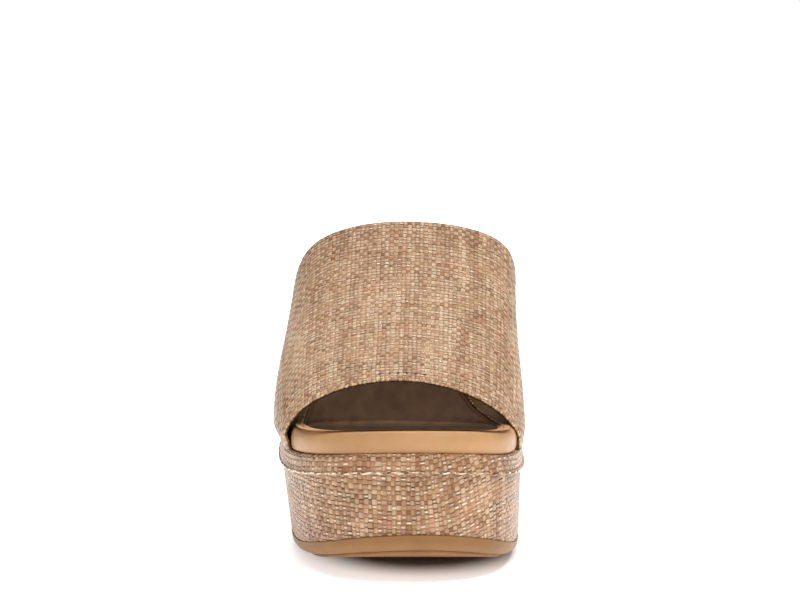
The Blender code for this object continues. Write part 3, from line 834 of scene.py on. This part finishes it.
def make_footbed_thread():
    """Stitches in the groove: 2.7 mm of waxed thread every 3.6 mm, deeper behind the front roll."""
    sock, normal = sock_ring(3000)
    ring = sock + normal * SEW_OUT
    run = distance_run(ring)
    count = int(run[-1] / STITCH_PITCH)
    where = (np.arange(count) + 0.5) * run[-1] / count
    x, y = (np.interp(where, run, ring[:, k]) for k in range(2))
    nx, ny = (np.interp(where, run, normal[:, k]) for k in range(2))
    slope = (footbed_top(x - ny * 1e-4, y + nx * 1e-4) - footbed_top(x + ny * 1e-4, y - nx * 1e-4)) / 2e-4
    sunk = 0.0006 - 0.0004 * ease((y - 0.028) / 0.012)
    centres = np.column_stack([x, y - SOLE_LENGTH / 2, footbed_top(x, y) - sunk])
    lattices = capsules(centres, np.column_stack([-ny, nx, slope]), 0.0027, 0.0005, sides=8)
    material = thread_material("footbed_waxed_thread", (84, 56, 34), (196, 150, 96))
    return make_piece("footbed_thread", lattices, material)


footbed = make_footbed()
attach(footbed, "root")
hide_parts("footbed")
footbed_thread = make_footbed_thread()
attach(footbed_thread, "root")

# Sock panel: soft taupe suede laid on thin foam inside the sewn groove, with a slight pillow and
# shallow dents where it has been pressed.
SOCK_DEPTH = 0.0018
SOCK_EDGE = (
    (0.0, SOCK_DEPTH), (0.0, 0.0011), (-0.0002, 0.00075), (-0.0006, 0.0005), (-0.0012, 0.00032),
    (-0.002, 0.00018), (-0.003, 0.0),
)


def sock_level(x, along):
    """Top of the panel: 0.3 mm below the footbed's upper face, with slow dents of 0.1 mm."""
    dent = 0.0001 * np.sin(x * 210 + 1.3 * np.sin(along * 60)) * np.sin(along * 85 + 0.7)
    return footbed_top(x, along) - 0.0003 + dent


def suede_material():
    """Taupe suede: a short nap with lighter and darker strokes running fore and aft."""
    material, tree, shader = new_material("sock_suede", (128, 104, 86), 0.95)
    place = add(tree, "TexCoord").outputs["Object"]
    strokes = add(tree, "Mapping", {"Vector": place, "Scale": (1.0, 0.16, 1.0)}).outputs[0]
    stroke = noise(tree, strokes, 240, 3)
    nap = noise(tree, place, 2600, 3)
    colour = ramp(tree, stroke, ((0.3, (86, 64, 46)), (0.7, (106, 80, 59))))
    colour = tint(tree, colour, spread(tree, nap, 0.35, 0.65, 0.0, 0.3), (0.75, 0.72, 0.7, 1))
    # Painted shade: the panel is darkened to about a third towards its toe end, ahead of the band.
    toe = spread(tree, add(tree, "SeparateXYZ", {0: place}).outputs["Y"], -0.066, -0.086)
    colour = tint(tree, colour, toe, (0.36, 0.36, 0.35, 1))
    tree.links.new(colour, shader.inputs["Base Color"])
    bump = add(tree, "Bump", {"Strength": 0.5, "Distance": 0.00015, "Height": nap})
    tree.links.new(bump.outputs[0], shader.inputs["Normal"])
    shader.inputs["Specular IOR Level"].default_value = 0.08
    return material


def make_sock():
    """A low cushion: straight edge, rounded rim and a cap that follows the footbed."""
    sock, normal = sock_ring(480)
    rows = []
    for out, drop in SOCK_EDGE:
        def level(x, y, drop=drop):
            return sock_level(x, y) - drop
        rows.append(lift_ring(sock, normal, out, level))
    lattices = [
        (closed_rows(rows), None),
        (cap_rows(rows[0], 6, lambda x, y: sock_level(x, y) - SOCK_DEPTH), None),
        (cap_rows(rows[-1], 60, sock_level), None),
    ]
    return make_piece("sock_suede", lattices, suede_material())


sock_panel = make_sock()
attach(sock_panel, "root")
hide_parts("sock_panel")

# Upper: one wide band of woven straw over the foot, its strands running over the toes and across. The
# edges are turned in over a narrow tape, and both feet are lasted between footbed and platform.
BAND_WALL = 0.0016
BAND_STRAND = 0.00167
BAND_ROW = 0.00161
BAND_HALF_STRANDS = 64
BAND_RELIEF = 0.00017
HEM_ROWS = 14


def band_rows(shares, points=2001):
    """Rows of the band's outer face from the big toe side to the other, at shares of its length.

    Each row is a superellipse on the two sides of the sole, squarer towards the instep, a little
    swollen above the sole. Each point's distance from the crest, to the outside positive, comes too.
    """
    share = np.asarray(shares)[:, None]

    def between(front, back):
        return front + (back - front) * share

    turn = math.pi * ease(np.linspace(0, 1, points))[None]
    medial_side = np.cos(turn) > 0
    square = np.where(medial_side, between(2.1, 9.5), between(2.1, 7.7))
    across = np.sign(np.cos(turn)) * np.abs(np.cos(turn)) ** (2 / 1.9)
    climb = np.abs(np.sin(turn)) ** (2 / square)
    side = between(0.043, 0.140)
    along = side + (between(0.054, 0.126) - side) * climb ** 1.3
    up = (between(0.0248, 0.0668) + 0.0015 * np.sin(math.pi * share)) * climb
    medial = half_outline(SOLE_MEDIAL, 1, side) + 0.0006
    lateral = half_outline(SOLE_LATERAL, -1, side) - 0.0006
    middle = (medial + lateral) / 2 + (between(-0.0010, 0.0010) - (medial + lateral) / 2) * ease(climb)
    foot = (medial - lateral) / 2
    half = foot + (np.where(medial_side, 0.0447, 0.0404) - foot) * ease(1.25 * up / 0.0668) * share
    swell = np.where(medial_side, 0.0010, 0.0024) * ease(up / 0.0065)
    x = middle + (half + swell) * across
    rows = np.stack(np.broadcast_arrays(x, along - SOLE_LENGTH / 2, platform_top(side) + 0.0004 + up), -1)
    steps = np.linalg.norm(np.diff(rows, axis=1), axis=2)
    run = np.concatenate([np.zeros((len(rows), 1)), np.cumsum(steps, axis=1)], 1)
    crest = np.array([np.interp(0.0, -np.cos(turn[0]), r) for r in run])
    return rows, run - crest[:, None]


def band_lattice(shares, offsets):
    """Points of the band at the given shares and signed distances from the crest, held at its two feet."""
    rows, run = band_rows(shares)
    held = [np.clip(offsets, r[0], r[-1]) for r in run]
    points = np.stack([
        np.column_stack([np.interp(h, r, row[:, k]) for k in range(3)]) for h, r, row in zip(held, run, rows)
    ])
    return points, np.stack(held)


def lattice_normals(points):
    """Unit normals of a lattice from the cross product of its two slopes."""
    down, over = np.gradient(points, axis=0), np.gradient(points, axis=1)
    normal = np.cross(down, over)
    return normal / np.maximum(np.linalg.norm(normal, axis=2), 1e-12)[..., None]


def band_shares(count):
    """Shares spaced evenly along the crest."""
    fine = np.linspace(0, 1, 401)
    crest = band_rows(fine, 201)[0][:, 100]
    run = distance_run(crest)
    return np.interp(np.linspace(0, run[-1], count), run, fine), run[-1]


def make_band():
    """Outer face woven strand by strand, rolled over at both edges and carried 6 mm back inside."""
    _, length = band_shares(2)
    cells = round(length / BAND_ROW)
    shares, _ = band_shares(4 * cells + 1)
    offsets = BAND_STRAND / 4 * np.arange(-4 * BAND_HALF_STRANDS, 4 * BAND_HALF_STRANDS + 1)
    smooth, held = band_lattice(shares, offsets)
    normal = lattice_normals(smooth)
    u = held / BAND_STRAND + 100
    v = np.broadcast_to(np.arange(len(shares))[:, None] / 4, held.shape)
    strands = wander(np.stack([u, v], -1), 0.1, 9)
    down = np.minimum(np.arange(len(shares)), np.arange(len(shares))[::-1]) / 4
    fade = ease(down / 0.8)[:, None]
    points = smooth + normal * (BAND_RELIEF * (weave_relief(strands) - 0.65) * fade)[..., None]
    radius = BAND_WALL / 2
    front, back = [], []
    for turn in np.radians(np.linspace(0, 180, 7))[1:]:
        sink, out = radius * (1 - math.cos(turn)), radius * math.sin(turn)
        for rows, r, step in ((front, 0, smooth[0] - smooth[1]), (back, -1, smooth[-1] - smooth[-2])):
            step = step / np.maximum(np.linalg.norm(step, axis=1), 1e-9)[:, None]
            rows.append(smooth[r] - normal[r] * sink + step * out)
    ahead, after = -np.arange(len(front), 0, -1) / 3, np.arange(1, len(back) + 1) / 3
    order = np.concatenate([ahead, strands[:, 0, 1], strands[-1, 0, 1] + after])
    inside = [smooth[k] - normal[k] * BAND_WALL for k in range(1, 1 + HEM_ROWS)]
    behind = [smooth[-k] - normal[-k] * BAND_WALL for k in range(2, 2 + HEM_ROWS)]
    stack = np.stack([*inside[::-1], *front[::-1], *points, *back, *behind])
    hem = np.arange(1, HEM_ROWS + 1) / 4
    order = np.concatenate([order[0] - hem[::-1], order, order[-1] + hem])
    whole = stack.shape[:2]
    places = np.stack([np.broadcast_to(u[:1], whole), np.broadcast_to(order[:, None], whole)], -1).copy()
    first = HEM_ROWS + len(front)
    places[first:first + len(points)] = strands
    material = straw_material("band_straw", 23.0, (0.0, (len(shares) - 1) / 4))
    return make_piece("band_weave", [(stack, places)], material)


def make_lining():
    """Smooth lining inside the band, from hem to hem."""
    shares = np.linspace(0.02, 0.98, 60)
    fine = np.linspace(-1, 1, 121)
    rows, run = band_rows(shares)
    points = []
    for r, row in zip(run, rows):
        at = np.where(fine < 0, -fine * r[0], fine * r[-1])
        points.append(np.column_stack([np.interp(at, r, row[:, k]) for k in range(3)]))
    points = np.stack(points)
    normal = lattice_normals(points)
    inner = points - normal * (BAND_WALL + 0.0002)
    hidden = points - normal * (BAND_WALL * 0.5)
    inner[0], inner[-1] = hidden[0], hidden[-1]
    material, tree, shader = new_material("band_lining", (100, 76, 56), 0.95, Specular_IOR_Level=0.0)
    place = add(tree, "TexCoord").outputs["Object"]
    fine_noise = noise(tree, place, 1500, 3)
    colour = ramp(tree, fine_noise, ((0.3, (50, 36, 25)), (0.7, (64, 47, 34))))
    tree.links.new(colour, shader.inputs["Base Color"])
    bump = add(tree, "Bump", {"Strength": 0.4, "Distance": 0.0001, "Height": fine_noise})
    tree.links.new(bump.outputs[0], shader.inputs["Normal"])
    return make_piece("band_lining", [(inner, None), (hidden, None)], material)


band = make_band()
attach(band, "root")
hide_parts("upper")
lining = make_lining()
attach(lining, "root")

# Setting: a white floor and backdrop, soft light from above and all round, and the photograph's camera.


def make_floor():
    """One wide flat sheet. Away from the shoe it glows a little, painted light like a lit white sweep; the
    glowing fades out near the shoe, which leaves a painted shadow round it.
    """
    mesh = bpy.data.meshes.new("floor")
    mesh.from_pydata([(-6, -6, 0), (6, -6, 0), (6, 6, 0), (-6, 6, 0)], [], [(0, 1, 2, 3)])
    material, tree, shader = new_material("white_floor", (245, 247, 249), 0.9, Specular_IOR_Level=0.0)
    place = add(tree, "SeparateXYZ", {0: add(tree, "TexCoord").outputs["Object"]})
    # Painted shadow: no glowing within 39 mm of a line down the shoe's middle, full glowing from 67 mm out.
    from_middle = calc(tree, "ABSOLUTE", calc(tree, "SUBTRACT", place.outputs[1], 0.025))
    past = calc(tree, "MAXIMUM", calc(tree, "SUBTRACT", from_middle, 0.072), 0.0)
    beside = calc(tree, "MULTIPLY", calc(tree, "SUBTRACT", place.outputs[0], 0.008), 1.25)
    squares = calc(tree, "ADD", calc(tree, "POWER", beside, 2.0), calc(tree, "POWER", past, 2.0))
    reach = {0: calc(tree, "SQRT", squares), 1: 0.039, 2: 0.067, 3: 0.0, 4: 0.62}
    painted_floor_light = add(tree, "MapRange", reach, interpolation_type="SMOOTHSTEP").outputs[0]
    shader.inputs["Emission Color"].default_value = (1, 1, 1, 1)
    tree.links.new(painted_floor_light, shader.inputs["Emission Strength"])
    mesh.materials.append(material)
    floor = bpy.data.objects.new("floor", mesh)
    bpy.context.scene.collection.objects.link(floor)
    return floor


def make_light(name, place, target, size, watts, glints=True):
    """Square area light at a place, turned to the target, seen in shiny surfaces or not."""
    data = bpy.data.lights.new(name, "AREA")
    data.shape, data.size, data.energy = "SQUARE", size, watts
    light = bpy.data.objects.new(name, data)
    light.location = place
    light.visible_glossy = glints
    away = np.array(place) - np.array(target)
    flat = math.hypot(away[0], away[1])
    light.rotation_euler = (math.atan2(flat, away[2]), 0, math.atan2(away[0], -away[1]) if flat > 1e-6 else 0)
    bpy.context.scene.collection.objects.link(light)
    return light


make_floor()
make_light("key", (0.85, -0.9, 2.0), (0, 0, 0.06), 0.3, 19.5)
make_light("overhead", (0.2, -0.7, 1.7), (0, 0, 0.06), 0.8, 12, glints=False)
make_light("back", (0.0, 1.0, 0.9), (0, -0.02, 0.06), 0.5, 18, glints=False)

world = bpy.context.scene.world or bpy.data.worlds.new("studio")
bpy.context.scene.world = world
world.use_nodes = True
studio = world.node_tree
towards = add(studio, "SeparateXYZ", {0: add(studio, "TexCoord").outputs["Generated"]})
sideways = spread(studio, towards.outputs[0], -1.0, 1.0, 0.5, 0.6)
aside = calc(studio, "ABSOLUTE", towards.outputs[0])
sideways = calc(studio, "MULTIPLY", sideways, spread(studio, aside, 0.2, 0.9, 1.0, 0.15))
upwards = spread(studio, towards.outputs[2], -0.1, 1.0, 0.7, 1.3)
background = studio.nodes["Background"]
background.inputs["Color"].default_value = (1, 1, 1, 1)
studio.links.new(calc(studio, "MULTIPLY", sideways, upwards), background.inputs["Strength"])

camera = bpy.data.objects.new("camera", bpy.data.cameras.new("camera"))
camera.data.lens, camera.data.sensor_width = 148.5, 36
camera.location = (-0.0002, -1.2854, 0.2805)
camera.rotation_euler = (math.radians(90 - 8.6), 0, 0)
bpy.context.scene.collection.objects.link(camera)
bpy.context.scene.camera = camera
bpy.context.scene.view_settings.view_transform = "Standard"
